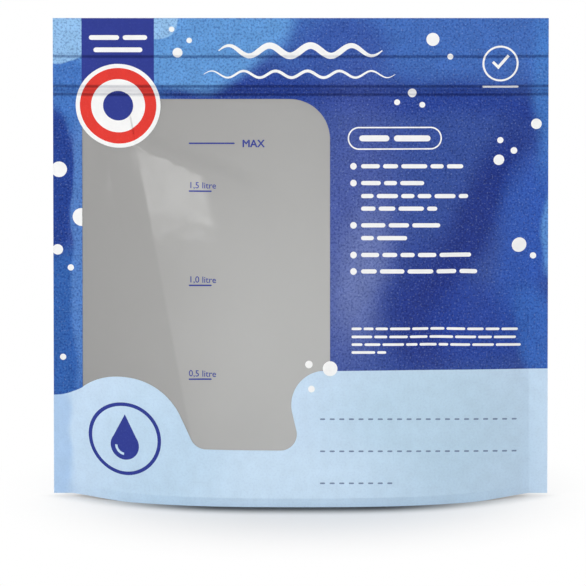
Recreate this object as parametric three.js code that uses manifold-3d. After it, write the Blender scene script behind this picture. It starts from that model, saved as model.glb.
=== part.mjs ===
// Stand-up refill pouch of flexible film with a press-to-close zip across its mouth.
// The front film carries a clear window, and a folded gusset spreads the base so that it stands.
// Lengths are in millimetres. Z is up, the front faces -Y and the floor is z = 0.
import * as THREE from "three";
import { mergeVertices } from "three/addons/utils/BufferGeometryUtils.js";
import Module from "manifold-3d";

const wasm = await Module();
wasm.setup();

// Pouch
const BAG_WIDTH = 250; // outer edge to outer edge
const BAG_HEIGHT = 245; // floor to the top edge, standing
const FILM = 0.15; // wall of every film
const WELD_GAP = 0.1; // clearance between films that are welded together
const SIDE_SEAL = 9.5; // width of the flat seal down each side

// Base
const BASE_DEPTH = 68; // across the pouch where it is widest, at the top of the rim weld
const RIM_WELD = 5; // height of the weld that joins each panel to the gusset
const RIM_TUCK = 3; // the rim leans in by this much from its top to the floor
const CORNER_LIFT = 1.5; // the feet of the side seals stand this far off the floor
const CORNER_RUN = 30; // length over which the bottom edge rises to that lift
const FOLD_RISE = 22; // the gusset's fold above the rim weld, at the middle of the base
const BASE_ARC = 2.8; // how square the base outline is in plan
const TOP_ARC = 2; // how square the body is in plan just below the zip
const BELLY = 1.3; // how the depth falls off from the base to the zip
const LEAF_FADE = 12; // the side seals thin down over this height above the gusset's leaves

// Zip
const ZIP_DROP = 36.7; // from the top edge to the middle of the zip profile
const TAPE_RISE = 17.3; // the tapes run this far above the middle of the profile
const TAPE_FOOT = 0.35; // and this far below its lower rib
const TAPE_WALL = 0.3;
const ZIP_DEPTH = 2.4; // across both tapes when the zip is closed
const RIB_PITCH = 3.8; // between the two hooked ribs
const RIB_WALL = 0.5;
const HOOK_REACH = 0.7;
const HOOK_WALL = 0.4;
const ZIP_PLAY = 0.2; // clearance in depth between bead, hooks and tapes
const ZIP_SIDE_PLAY = 0.3; // clearance above and below the bead, inside the ribs and hooks
const CRUSH_RUN = 12; // the zip is flattened over this length towards each side seal
const CRUSH_END = 0.3; // share of its depth left at the seal
const ZIP_RUN = 20; // the panels part over this height to reach the zip
const LIP_SHARE = 0.25; // share of the zip depth left between the lips at the top edge

// Window
const WINDOW_LAP = 1.5; // weld of the clear film behind the opening
const WINDOW_ZIP_GAP = 0.3; // between the clear film and the zip tape
const WINDOW_INSET = 5.2; // from the left side seal to the opening
const WINDOW_WIDTH = 125.1;
const WINDOW_BOTTOM = 29.5; // above the floor
const WINDOW_CORNER = 20.5; // radius of the two top corners
const BADGE_RADIUS = 21.4; // printed disc left standing in the opening's top left corner
const BADGE_OVERHANG = 3.2; // how far the disc reaches past the left edge of the opening
const BADGE_OVERTOP = 17.9; // and past its top edge
const FOOT_CORNER = 8.2; // radius of the two bottom corners
const FOOT_SPREAD = 2; // how far each foot corner stands off from touching its hill or bump
const HILL_RADIUS = 31.6; // round hill that fills the lower left of the opening
const HILL_OVERHANG = 10.6; // how far the hill reaches past the left edge of the opening
const HILL_RISE = 2.6; // its centre, above the bottom of the opening
const BUMP_RADIUS = 17; // round bump at the lower right of the opening
const BUMP_INSET = 2.6; // its centre, from the right edge of the opening
const BUMP_RISE = 23; // its centre, above the bottom of the opening

// Fineness of the facets
const COLUMNS_PER_HALF = 10;
const RIM_ROWS = 2;
const LEAF_ROWS = 4;
const BODY_ROWS = 9;
const ZIP_ROWS = 4;
const ARC_STEP = Math.PI / 18;
const MERGE_DISTANCE = 1e-4;

// Places worked out from the sizes above
const bagHalf = BAG_WIDTH / 2;
const sealEdge = bagHalf - SIDE_SEAL;
const zipHalf = ZIP_DEPTH / 2;
const zipMiddle = BAG_HEIGHT - ZIP_DROP;
const ribOuter = RIB_PITCH / 2 + RIB_WALL / 2;
const ribInner = RIB_PITCH / 2 - RIB_WALL / 2;
const tapeTop = zipMiddle + TAPE_RISE;
const tapeBottom = zipMiddle - ribOuter - TAPE_FOOT;
const gussetLeaf = RIM_WELD + Math.hypot(BASE_DEPTH / 2, FOLD_RISE);
const leafHalfGap = WELD_GAP / 2; // half of the slit between the two leaves in the side seals
const leafStack = leafHalfGap + FILM + WELD_GAP; // from the middle plane to a panel over a leaf
const windowLeft = -sealEdge + WINDOW_INSET;
const windowRight = windowLeft + WINDOW_WIDTH;
const windowTop = tapeBottom - WINDOW_ZIP_GAP - WINDOW_LAP;

function share(value, from, to) {
  return Math.min(1, Math.max(0, (value - from) / (to - from)));
}

function ease(t) {
  return t * t * (3 - 2 * t);
}

function mix(a, b, t) {
  return a + (b - a) * t;
}

// Height of a point at its flat height on the film: the bottom edge rises towards the corners.
function standingHeight(x, flat) {
  const lift = CORNER_LIFT * ease(share(Math.abs(x), sealEdge - CORNER_RUN, sealEdge));
  return lift + flat * (1 - lift / BAG_HEIGHT);
}

// Share of the zip's depth left at x: full along the mouth, flattened into the side seals.
function crush(x) {
  const along = Math.abs(x);
  if (along <= sealEdge) {
    return mix(1, CRUSH_END, ease(share(along, sealEdge - CRUSH_RUN, sealEdge)));
  }
  return CRUSH_END * (1 - share(along, sealEdge, bagHalf));
}

// Share of the zip's depth that holds the panels apart at this flat height.
function zipSpread(flat) {
  if (flat < tapeBottom) {
    return ease(share(flat, tapeBottom - ZIP_RUN, tapeBottom));
  }
  return mix(1, LIP_SHARE, share(flat, tapeTop, BAG_HEIGHT));
}

// Depth that the spread base gives each panel: deepest at the rim, none at the seals or the zip.
function belly(x, flat) {
  const side = Math.min(1, Math.abs(x) / sealEdge);
  const rise = share(flat, RIM_WELD, tapeBottom);
  const tuck = RIM_TUCK * (1 - share(flat, 0, RIM_WELD));
  const widest = BASE_DEPTH / 2 - FILM - leafStack;
  const depth = widest * Math.max(0, Math.cos((rise * Math.PI) / 2)) ** BELLY - tuck;
  return depth * (1 - side ** mix(BASE_ARC, TOP_ARC, rise));
}

// Distance from the middle plane of the pouch to the inner face of either panel.
function innerDepth(x, flat) {
  const fade = ease(share(flat, gussetLeaf, gussetLeaf + LEAF_FADE));
  const leaves = mix(leafStack, WELD_GAP / 2, fade);
  return leaves + belly(x, flat) + zipHalf * zipSpread(flat) * crush(x);
}

function steps(from, to, count) {
  return Array.from({ length: count }, (_, k) => mix(from, to, k / count));
}

// Columns crowd towards the side seals, where the film turns most.
const halfColumns = Array.from(
  { length: COLUMNS_PER_HALF + 1 },
  (_, k) => sealEdge * Math.sin((k / COLUMNS_PER_HALF) * (Math.PI / 2)),
);
const innerColumns = [...halfColumns.slice(1).map((x) => -x).reverse(), ...halfColumns];
const columns = [-bagHalf, ...innerColumns, bagHalf];
const rows = [
  ...steps(0, RIM_WELD, RIM_ROWS),
  ...steps(RIM_WELD, gussetLeaf, LEAF_ROWS),
  ...steps(gussetLeaf, tapeBottom - ZIP_RUN, BODY_ROWS),
  ...steps(tapeBottom - ZIP_RUN, tapeBottom, ZIP_ROWS),
  tapeBottom,
  tapeTop,
  BAG_HEIGHT,
];

function solidGeometry(points, triangles) {
  const geometry = new THREE.BufferGeometry();
  geometry.setAttribute("position", new THREE.Float32BufferAttribute(points.flat(), 3));
  geometry.setIndex(triangles.flat());
  geometry.computeVertexNormals();
  return geometry;
}

// Closed thin solid between two faces given on one grid. Face a looks along the grid's own
// normal, columns crossed with rows, and face b looks the other way. Cells from the turning row
// on are split along their other diagonal, so that a film that doubles back lies on its twin.
function sheetSolid(columnCount, rowCount, faceA, faceB, turningRow = rowCount) {
  const points = [];
  for (const face of [faceA, faceB]) {
    for (let i = 0; i < columnCount; i += 1) {
      for (let j = 0; j < rowCount; j += 1) {
        points.push(face(i, j));
      }
    }
  }
  const a = (i, j) => i * rowCount + j;
  const b = (i, j) => columnCount * rowCount + i * rowCount + j;
  const triangles = [];
  const quad = (p, q, r, s) => triangles.push([p, q, r], [p, r, s]);
  const cell = (p, q, r, s, j) => (j < turningRow ? quad(p, q, r, s) : quad(q, r, s, p));
  const lastColumn = columnCount - 1;
  const lastRow = rowCount - 1;
  for (let i = 0; i < lastColumn; i += 1) {
    for (let j = 0; j < lastRow; j += 1) {
      cell(a(i, j), a(i + 1, j), a(i + 1, j + 1), a(i, j + 1), j);
      cell(b(i, j), b(i, j + 1), b(i + 1, j + 1), b(i + 1, j), j);
    }
    quad(a(i, 0), b(i, 0), b(i + 1, 0), a(i + 1, 0));
    quad(a(i, lastRow), a(i + 1, lastRow), b(i + 1, lastRow), b(i, lastRow));
  }
  for (let j = 0; j < lastRow; j += 1) {
    quad(a(0, j), a(0, j + 1), b(0, j + 1), b(0, j));
    quad(a(lastColumn, j), b(lastColumn, j), b(lastColumn, j + 1), a(lastColumn, j + 1));
  }
  return solidGeometry(points, triangles);
}

// A film over the whole panel, lying between two distances from the panel's inner face.
// Side -1 is the front of the pouch and side 1 is the back.
function panelFilm(side, near, far) {
  const face = (offset) => (i, j) => {
    const x = columns[i];
    const flat = rows[j];
    return [x, side * (innerDepth(x, flat) + offset), standingHeight(x, flat)];
  };
  const towardsFront = side < 0 ? far : near;
  const towardsBack = side < 0 ? near : far;
  return sheetSolid(columns.length, rows.length, face(towardsFront), face(towardsBack));
}

function toManifold(geometry) {
  const bare = new THREE.BufferGeometry();
  bare.setAttribute("position", geometry.getAttribute("position"));
  bare.setIndex(geometry.getIndex());
  const merged = mergeVertices(bare, MERGE_DISTANCE);
  return new wasm.Manifold(
    new wasm.Mesh({
      numProp: 3,
      vertProperties: new Float32Array(merged.getAttribute("position").array),
      triVerts: new Uint32Array(merged.getIndex().array),
    }),
  );
}

function fromManifold(solid) {
  const mesh = solid.getMesh();
  const geometry = new THREE.BufferGeometry();
  geometry.setAttribute("position", new THREE.Float32BufferAttribute(mesh.vertProperties, 3));
  geometry.setIndex(new THREE.Uint32BufferAttribute(mesh.triVerts, 1));
  geometry.computeVertexNormals();
  return geometry;
}

function arc(circle, fromAngle, toAngle) {
  const count = Math.ceil(Math.abs(toAngle - fromAngle) / ARC_STEP);
  return Array.from({ length: count + 1 }, (_, k) => {
    const angle = mix(fromAngle, toAngle, k / count);
    const x = circle.x + circle.radius * Math.cos(angle);
    const z = circle.z + circle.radius * Math.sin(angle);
    return new THREE.Vector2(x, z);
  });
}

// Straight line that leaves one circle and joins another on its other side. Turn is 1 when the
// path runs clockwise round the first circle, and -1 when it runs the other way.
function crossTangent(first, second, turn) {
  const dx = second.x - first.x;
  const dz = second.z - first.z;
  const radii = first.radius + second.radius;
  const squared = dx * dx + dz * dz;
  const run = Math.sqrt(Math.max(0, squared - radii * radii));
  const alongX = (run * dx + turn * radii * dz) / squared;
  const alongZ = (run * dz - turn * radii * dx) / squared;
  return Math.atan2(turn * alongX, -turn * alongZ);
}

// Outline of the window, grown outwards by the given amount. The opening in the printed film goes
// round the badge, and the clear film behind it has a plain rounded corner there.
function windowOutline(grow, cornerAt) {
  const left = windowLeft - grow;
  const right = windowRight + grow;
  const hill = {
    x: windowLeft - HILL_OVERHANG + HILL_RADIUS,
    z: WINDOW_BOTTOM + HILL_RISE,
    radius: HILL_RADIUS - grow,
  };
  const bump = {
    x: windowRight - BUMP_INSET,
    z: WINDOW_BOTTOM + BUMP_RISE,
    radius: BUMP_RADIUS - grow,
  };
  const footHeight = WINDOW_BOTTOM + FOOT_CORNER;
  const footRadius = FOOT_CORNER + grow;
  const footReach = (round) => {
    const radii = round.radius + footRadius;
    const rise = round.z - footHeight;
    return Math.sqrt(Math.max(0, radii * radii - rise * rise)) + FOOT_SPREAD;
  };
  const footLeft = { x: hill.x + footReach(hill), z: footHeight, radius: footRadius };
  const footRight = { x: bump.x - footReach(bump), z: footHeight, radius: footRadius };
  const top = (x) => ({ x, z: windowTop - WINDOW_CORNER, radius: WINDOW_CORNER + grow });
  const topRight = top(windowRight - WINDOW_CORNER);
  const topLeft = top(windowLeft + WINDOW_CORNER);
  const hillStart = Math.acos((left - hill.x) / hill.radius);
  const hillEnd = crossTangent(hill, footLeft, 1);
  const bumpStart = crossTangent(footRight, bump, -1);
  const bumpEnd = Math.acos((right - bump.x) / bump.radius);
  const turn = 2 * Math.PI;
  return [
    ...arc(hill, hillStart, hillEnd),
    ...arc(footLeft, Math.PI + hillEnd, 1.5 * Math.PI),
    ...arc(footRight, 1.5 * Math.PI, turn + bumpStart),
    ...arc(bump, turn + bumpStart - Math.PI, bumpEnd),
    ...arc(topRight, 0, Math.PI / 2),
    ...cornerAt(topLeft),
  ];
}

function plainCorner(circle) {
  return arc(circle, Math.PI / 2, Math.PI);
}

function badgeCorner() {
  const badge = {
    x: windowLeft - BADGE_OVERHANG + BADGE_RADIUS,
    z: windowTop + BADGE_OVERTOP - BADGE_RADIUS,
    radius: BADGE_RADIUS,
  };
  const topAngle = Math.asin((windowTop - badge.z) / badge.radius);
  const leftAngle = -Math.acos((windowLeft - badge.x) / badge.radius);
  return arc(badge, topAngle, leftAngle);
}

// Upright prism through the front half of the pouch, with the given outline.
function windowPrism(outline) {
  const shape = new THREE.Shape(outline);
  const prism = new THREE.ExtrudeGeometry(shape, { depth: BASE_DEPTH, bevelEnabled: false });
  prism.rotateX(Math.PI / 2);
  prism.translate(0, BASE_DEPTH / 4, 0);
  return toManifold(prism);
}

// Gusset: one film folded along the middle, its feet welded inside the two rims. Each column
// follows the panel up to the top of the weld and then runs straight to the fold.
const WELD_STEPS = 2;
const LEAF_STEPS = 5;

function leafSection(x) {
  const foldDepth = leafHalfGap + FILM / 2;
  const middle = (flat) => innerDepth(x, flat) - WELD_GAP - FILM / 2;
  const across = middle(RIM_WELD) - foldDepth;
  const free = gussetLeaf - RIM_WELD;
  const rise = Math.sqrt(free * free - across * across);
  const length = Math.hypot(rise, across);
  const leafNormal = { depth: rise / length, up: across / length };
  const bend = { depth: 1, up: leafNormal.up / (1 + leafNormal.depth) };
  const section = [];
  for (let k = 0; k < WELD_STEPS; k += 1) {
    const flat = (RIM_WELD * k) / WELD_STEPS;
    section.push({ depth: middle(flat), flat, normal: { depth: 1, up: 0 } });
  }
  section.push({ depth: middle(RIM_WELD), flat: RIM_WELD, normal: bend });
  for (let k = 1; k <= LEAF_STEPS; k += 1) {
    const t = k / LEAF_STEPS;
    const depth = mix(middle(RIM_WELD), foldDepth, t);
    section.push({ depth, flat: RIM_WELD + rise * t, normal: leafNormal });
  }
  const fold = { depth: 0, flat: RIM_WELD + rise + foldDepth, normal: { depth: 0, up: 1 } };
  return { section, fold };
}

function gussetFilm() {
  const sections = columns.map(leafSection);
  const leafCount = WELD_STEPS + LEAF_STEPS + 1;
  const face = (offset) => (i, j) => {
    const x = columns[i];
    const { section, fold } = sections[i];
    const side = Math.sign(j - leafCount);
    const along = leafCount - Math.abs(j - leafCount);
    const point = side === 0 ? fold : section[along];
    const depth = point.depth + offset * point.normal.depth;
    const height = standingHeight(x, point.flat) + offset * point.normal.up;
    return [x, side * depth, height];
  };
  const pointCount = 2 * leafCount + 1;
  return sheetSolid(columns.length, pointCount, face(FILM / 2), face(-FILM / 2), leafCount);
}

// A zip tape: one section run along the mouth, flattened in depth towards the side seals.
function zipTape(section) {
  const count = section.length;
  const points = [];
  for (const x of innerColumns) {
    for (const [depth, height] of section) {
      points.push([x, depth * crush(x), height]);
    }
  }
  const triangles = [];
  for (let i = 0; i + 1 < innerColumns.length; i += 1) {
    for (let k = 0; k < count; k += 1) {
      const next = (k + 1) % count;
      const here = i * count;
      const there = here + count;
      triangles.push([here + k, here + next, there + next], [here + k, there + next, there + k]);
    }
  }
  const outline = section.map(([depth, height]) => new THREE.Vector2(depth, height));
  const last = (innerColumns.length - 1) * count;
  for (const [p, q, r] of THREE.ShapeUtils.triangulateShape(outline, [])) {
    triangles.push([p, r, q], [last + p, last + q, last + r]);
  }
  return solidGeometry(points, triangles);
}

// Front tape: a flat tape with one headed bead. Points run anticlockwise in depth and height.
const tapeFace = zipHalf - TAPE_WALL;
const ribTip = -tapeFace + ZIP_PLAY;
const hookBack = ribTip + HOOK_WALL;
const headBase = hookBack + ZIP_PLAY;
const headTip = tapeFace - ZIP_PLAY;
const hookEnd = ribInner - HOOK_REACH;
const headHalf = ribInner - ZIP_SIDE_PLAY;
const stemHalf = hookEnd - ZIP_SIDE_PLAY;
const beadSection = [
  [-zipHalf, tapeBottom],
  [-tapeFace, tapeBottom],
  [-tapeFace, zipMiddle - stemHalf],
  [headBase, zipMiddle - stemHalf],
  [headBase, zipMiddle - headHalf],
  [headTip, zipMiddle - headHalf / 2],
  [headTip, zipMiddle + headHalf / 2],
  [headBase, zipMiddle + headHalf],
  [headBase, zipMiddle + stemHalf],
  [-tapeFace, zipMiddle + stemHalf],
  [-tapeFace, tapeTop],
  [-zipHalf, tapeTop],
];

// Back tape: a flat tape with two hooked ribs that hold the bead between them.
const grooveSection = [
  [zipHalf, tapeBottom],
  [zipHalf, tapeTop],
  [tapeFace, tapeTop],
  [tapeFace, zipMiddle + ribOuter],
  [ribTip, zipMiddle + ribOuter],
  [ribTip, zipMiddle + hookEnd],
  [hookBack, zipMiddle + hookEnd],
  [hookBack, zipMiddle + ribInner],
  [tapeFace, zipMiddle + ribInner],
  [tapeFace, zipMiddle - ribInner],
  [hookBack, zipMiddle - ribInner],
  [hookBack, zipMiddle - hookEnd],
  [ribTip, zipMiddle - hookEnd],
  [ribTip, zipMiddle - ribOuter],
  [tapeFace, zipMiddle - ribOuter],
  [tapeFace, tapeBottom],
];

const pouch = new THREE.Group();
pouch.name = "zipper_refill_bag";

function add(name, geometry, look) {
  const mesh = new THREE.Mesh(geometry, new THREE.MeshStandardMaterial(look));
  mesh.name = name;
  pouch.add(mesh);
}

// Front panel: printed film with the window cut out of it.
const frontWeb = toManifold(panelFilm(-1, 0, FILM));
const opening = windowPrism(windowOutline(0, badgeCorner));
const frontPanel = fromManifold(frontWeb.subtract(opening));
add("front_panel", frontPanel, { color: 0x4a74b8, roughness: 0.4 });

// Window: clear film welded behind the opening.
const clearWeb = toManifold(panelFilm(-1, -WELD_GAP - FILM, -WELD_GAP));
const patch = windowPrism(windowOutline(WINDOW_LAP, plainCorner));
const windowFilm = fromManifold(clearWeb.intersect(patch));
add("window_film", windowFilm, { color: 0xd8dadc, roughness: 0.15, transparent: true, opacity: 0.35 });

// Back panel: printed film without a window.
add("back_panel", panelFilm(1, 0, FILM), { color: 0x4a74b8, roughness: 0.4 });

// Bottom gusset: folded film that opens out as the base.
add("bottom_gusset", gussetFilm(), { color: 0xc4dcef, roughness: 0.4 });

// Zip: a bead tape welded to the front panel and a groove tape welded to the back panel.
add("zip_bead_tape", zipTape(beadSection), { color: 0xe6ecf0, roughness: 0.35 });
add("zip_groove_tape", zipTape(grooveSection), { color: 0xe6ecf0, roughness: 0.35 });

export default pouch;
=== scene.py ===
import math
import random

import bpy
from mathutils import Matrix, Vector
from mathutils.geometry import delaunay_2d_cdt


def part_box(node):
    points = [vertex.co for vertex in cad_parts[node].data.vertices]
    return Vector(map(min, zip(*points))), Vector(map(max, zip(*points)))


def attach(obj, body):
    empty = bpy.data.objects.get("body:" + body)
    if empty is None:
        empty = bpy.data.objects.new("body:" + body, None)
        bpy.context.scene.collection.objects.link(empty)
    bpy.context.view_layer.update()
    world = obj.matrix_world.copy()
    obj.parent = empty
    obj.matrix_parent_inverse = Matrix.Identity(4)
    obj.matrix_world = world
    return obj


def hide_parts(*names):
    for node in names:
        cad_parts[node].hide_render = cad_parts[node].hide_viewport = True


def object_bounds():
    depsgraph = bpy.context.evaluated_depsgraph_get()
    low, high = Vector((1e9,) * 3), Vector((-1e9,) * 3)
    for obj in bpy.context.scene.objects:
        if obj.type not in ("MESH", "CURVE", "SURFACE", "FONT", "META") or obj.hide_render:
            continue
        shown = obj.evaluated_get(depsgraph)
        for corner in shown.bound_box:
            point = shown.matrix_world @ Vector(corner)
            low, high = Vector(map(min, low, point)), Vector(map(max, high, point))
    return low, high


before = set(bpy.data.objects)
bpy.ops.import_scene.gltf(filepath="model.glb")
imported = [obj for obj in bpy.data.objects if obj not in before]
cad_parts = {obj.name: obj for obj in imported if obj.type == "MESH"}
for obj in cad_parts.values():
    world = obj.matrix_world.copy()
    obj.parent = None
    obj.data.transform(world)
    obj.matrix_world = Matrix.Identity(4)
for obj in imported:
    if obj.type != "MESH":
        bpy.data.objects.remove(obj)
cad_low, cad_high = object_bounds()

# Camera: a long lens a few metres away, straight on to the front and a little above it.
# Its aim and reach give the bag the place that it has in the photograph's square frame.
MM = 0.001
CAMERA_RISE = math.radians(10)
CAMERA_DISTANCE = 7.0
CAMERA_AIM = Vector((-3.9 * MM, 0, 104.3 * MM))
FRAME_WIDTH = 296.3 * MM
camera_data = bpy.data.cameras.new("camera")
camera_data.sensor_width = 36
camera_data.lens = camera_data.sensor_width * CAMERA_DISTANCE / FRAME_WIDTH
camera = bpy.data.objects.new("camera", camera_data)
camera_back = Vector((0, -math.cos(CAMERA_RISE), math.sin(CAMERA_RISE)))
camera.location = CAMERA_AIM + camera_back * CAMERA_DISTANCE
camera.rotation_euler = (-camera_back).to_track_quat("-Z", "Y").to_euler()
bpy.context.collection.objects.link(camera)
bpy.context.scene.camera = camera

# Front panel: printed polyethylene laminate, cut out for the window, drawn out over the spread
# base and heat-sealed to the back panel down both sides. Sizes are in millimetres on the film.
BAG_HALF = cad_high.x / MM
BAG_HEIGHT = cad_high.z / MM
BASE_HALF = cad_high.y / MM
FILM = 0.15
WELD_GAP = 0.1
SIDE_SEAL = 9.5
RIM_WELD = 5
RIM_TUCK = 3
CORNER_LIFT = 1.5
CORNER_RUN = 30
BASE_ARC = 2.8
TOP_ARC = 2
BELLY = 1.3
LEAF_FADE = 12
CRUSH_RUN = 12
CRUSH_END = 0.3
ZIP_RUN = 20
LIP_SHARE = 0.25
FOLD_RISE = 22
RIB_PITCH = 3.8
PUCKER = 0.6
PUCKER_RUN = 8
GROOVE_WIDTH = 0.5
SEAL_EDGE = BAG_HALF - SIDE_SEAL
tape_low, tape_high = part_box("zip_bead_tape")
TAPE_BOTTOM = tape_low.z / MM
TAPE_TOP = tape_high.z / MM
ZIP_HALF = -tape_low.y / MM
ZIP_BELOW_TOP = 36.7
ZIP_MIDDLE = BAG_HEIGHT - ZIP_BELOW_TOP
GUSSET_LEAF = RIM_WELD + math.hypot(BASE_HALF, FOLD_RISE)
LEAF_HALF_GAP = WELD_GAP / 2
LEAF_STACK = LEAF_HALF_GAP + FILM + WELD_GAP


# Where a value lies on the way from start to end, held between 0 and 1.
def share(value, start, end):
    return min(1, max(0, (value - start) / (end - start)))


def ease(t):
    return t * t * (3 - 2 * t)


def mix(a, b, t):
    return a + (b - a) * t


# Height above the floor of a place on the film. The two lower corners stand a little off the floor.
def standing_height(x, flat):
    lift = CORNER_LIFT * ease(share(abs(x), SEAL_EDGE - CORNER_RUN, SEAL_EDGE))
    return lift + flat * (1 - lift / BAG_HEIGHT)


# How much of the zip's thickness is left, as the side seals press it flat.
def crush(x):
    along = abs(x)
    if along <= SEAL_EDGE:
        return mix(1, CRUSH_END, ease(share(along, SEAL_EDGE - CRUSH_RUN, SEAL_EDGE)))
    return CRUSH_END * (1 - share(along, SEAL_EDGE, BAG_HALF))


# How far the zip holds the film off the bag's middle plane, by height on the film.
def zip_spread(flat):
    if flat < TAPE_BOTTOM:
        return ease(share(flat, TAPE_BOTTOM - ZIP_RUN, TAPE_BOTTOM))
    return mix(1, LIP_SHARE, share(flat, TAPE_TOP, BAG_HEIGHT))


# Depth of the pouch, which is widest over the base and runs out at the zip and the side seals.
def belly(x, flat):
    side = min(1, abs(x) / SEAL_EDGE)
    rise = share(flat, RIM_WELD, TAPE_BOTTOM)
    tuck = RIM_TUCK * (1 - share(flat, 0, RIM_WELD))
    widest = BASE_HALF - FILM - LEAF_STACK
    depth = widest * max(0, math.cos(rise * math.pi / 2)) ** BELLY - tuck
    return depth * (1 - side ** mix(BASE_ARC, TOP_ARC, rise))


# The film puckers over the zip and is drawn in as grooves where its ribs and the tape's top edge
# hold it. Each groove has its height on the film and its strength.
GROOVE_REACH = 2.15
GROOVE_DRAWN = 0.85
MIDDLE_GROOVE = 0.4
PUCKER_AT_SEAL = 0.5
ZIP_GROOVES = (
    (ZIP_MIDDLE + GROOVE_REACH, 1),
    (ZIP_MIDDLE, MIDDLE_GROOVE),
    (ZIP_MIDDLE - GROOVE_REACH, 1),
    (TAPE_TOP, 1),
)


def puckered(x, flat):
    below_top = 1 - ease(share(flat, TAPE_TOP, BAG_HEIGHT))
    raised = ease(share(flat, TAPE_BOTTOM - PUCKER_RUN, TAPE_BOTTOM)) * below_top
    for groove, strength in ZIP_GROOVES:
        away = (flat - groove) / GROOVE_WIDTH
        raised *= 1 - GROOVE_DRAWN * strength * math.exp(-away * away)
    return PUCKER * raised * mix(PUCKER_AT_SEAL, 1, crush(x))


# The slack film falls into a long flat facet beside a crease that slants across the window, and
# into a soft trough on the right that slants down to the base.
CREASE_TOP = (-82.8, 178.2)
CREASE_FOOT = (-54.7, 31.5)
CREASE_RIDGE = 1.2
CREASE_FLANK = 16
RIDGE_FOOT = 110
RIDGE_PEAK = 184
RIDGE_END = 202
FLANK_SEAL_RUN = 10
FACET_SLOPE = 0.136
FACET_WIDTH = 28
FACET_FADE = 44
FACET_FOOT = 50
FACET_FULL = 80
SHOULDER_RISE = 4
SHOULDER_FALL = 0.4
SHOULDER_INSIDE = 3
SHOULDER_OUTSIDE = 9
TROUGH_TOP = (108, 186)
TROUGH_FOOT = (62, 70)
TROUGH_DEPTH = 1.5
TROUGH_HALF = 11
TROUGH_FOOT_RUN = (-12, 20)
TROUGH_TOP_RUN = (-24, 4)
TROUGH_SEAL_RUN = 16
SEAL_MARGIN = 2


def slant(top, foot, flat):
    return mix(foot[0], top[0], (flat - foot[1]) / (top[1] - foot[1]))


def dented(x, flat):
    crease = slant(CREASE_TOP, CREASE_FOOT, flat)
    beside = x - crease
    ridge = CREASE_RIDGE * ease(share(flat, RIDGE_FOOT, RIDGE_PEAK))
    ridge *= 1 - ease(share(flat, RIDGE_PEAK, RIDGE_END))
    if beside < 0:
        off_seal = ease(share(SEAL_EDGE + x, SEAL_MARGIN, FLANK_SEAL_RUN))
        dent = ridge * share(beside, -CREASE_FLANK, 0) * off_seal
    else:
        facet = belly(crease, flat) + ridge + FACET_SLOPE * beside - belly(x, flat)
        shoulder = CREASE_TOP[1] + SHOULDER_RISE - SHOULDER_FALL * beside
        foot = ease(share(flat, FACET_FOOT, FACET_FULL))
        top = 1 - ease(share(flat, shoulder - SHOULDER_INSIDE, shoulder + SHOULDER_OUTSIDE))
        fade = 1 - ease(share(beside, FACET_WIDTH, FACET_WIDTH + FACET_FADE))
        dent = facet * (foot * top) * fade
    across = (x - slant(TROUGH_TOP, TROUGH_FOOT, flat)) / TROUGH_HALF
    along = ease(share(flat - TROUGH_FOOT[1], *TROUGH_FOOT_RUN))
    along *= 1 - ease(share(flat - TROUGH_TOP[1], *TROUGH_TOP_RUN))
    along *= ease(share(SEAL_EDGE - abs(x), SEAL_MARGIN, TROUGH_SEAL_RUN))
    return dent - TROUGH_DEPTH * math.exp(-across * across) * along


# Depth of the film's inner surface: room for the gusset's leaves, then belly, zip and relief.
def inner_depth(x, flat):
    fade = ease(share(flat, GUSSET_LEAF, GUSSET_LEAF + LEAF_FADE))
    leaves = mix(LEAF_STACK, WELD_GAP / 2, fade)
    zip_lift = ZIP_HALF * zip_spread(flat) * crush(x)
    return leaves + belly(x, flat) + zip_lift + puckered(x, flat) + dented(x, flat)


# A place on the film as it stands. The back of the bag is shaped as its front turned round.
FRONT_SIDE = -1
BACK_SIDE = 1


def film_point(x, flat, side, offset):
    return Vector((x, side * (inner_depth(side * -x, flat) + offset), standing_height(x, flat)))


NORMAL_REACH = 0.2


def film_normal(x, flat, side):
    low = max(0, flat - NORMAL_REACH)
    high = min(BAG_HEIGHT, flat + NORMAL_REACH)
    left = max(-BAG_HALF, x - NORMAL_REACH)
    right = min(BAG_HALF, x + NORMAL_REACH)
    across = film_point(right, flat, side, 0) - film_point(left, flat, side, 0)
    upward = film_point(x, high, side, 0) - film_point(x, low, side, 0)
    return -side * across.cross(upward).normalized()


def steps(start, end, spacing):
    count = max(1, round((end - start) / spacing))
    return [mix(start, end, k / count) for k in range(count)]


# Columns and rows of the mesh, each run given by its end and spacing. They lie closer together at
# the side seals, the rim weld and the grooves of the zip.
FILM_COLUMNS = [0]
for edge, spacing in ((96, 4), (SEAL_EDGE - 1, 2.2), (SEAL_EDGE, 0.5), (SEAL_EDGE + 1, 0.5)):
    FILM_COLUMNS += steps(FILM_COLUMNS[-1], edge, spacing)[1:] + [edge]
FILM_COLUMNS += [BAG_HALF - 4, BAG_HALF]
FILM_COLUMNS = sorted({x * sign for x in FILM_COLUMNS for sign in (-1, 1)})
FILM_ROWS = [0]
for edge, spacing in (
    (RIM_WELD - 0.6, 1.1),
    (RIM_WELD + 0.6, 0.3),
    (TAPE_BOTTOM - ZIP_RUN, 4),
    (TAPE_BOTTOM - 2, 2),
    (ZIP_MIDDLE + 5.5, 0.3),
    (TAPE_TOP - 1.5, 3),
    (TAPE_TOP + 1.5, 0.25),
    (BAG_HEIGHT, 3),
):
    FILM_ROWS += steps(FILM_ROWS[-1], edge, spacing)[1:] + [edge]

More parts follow.
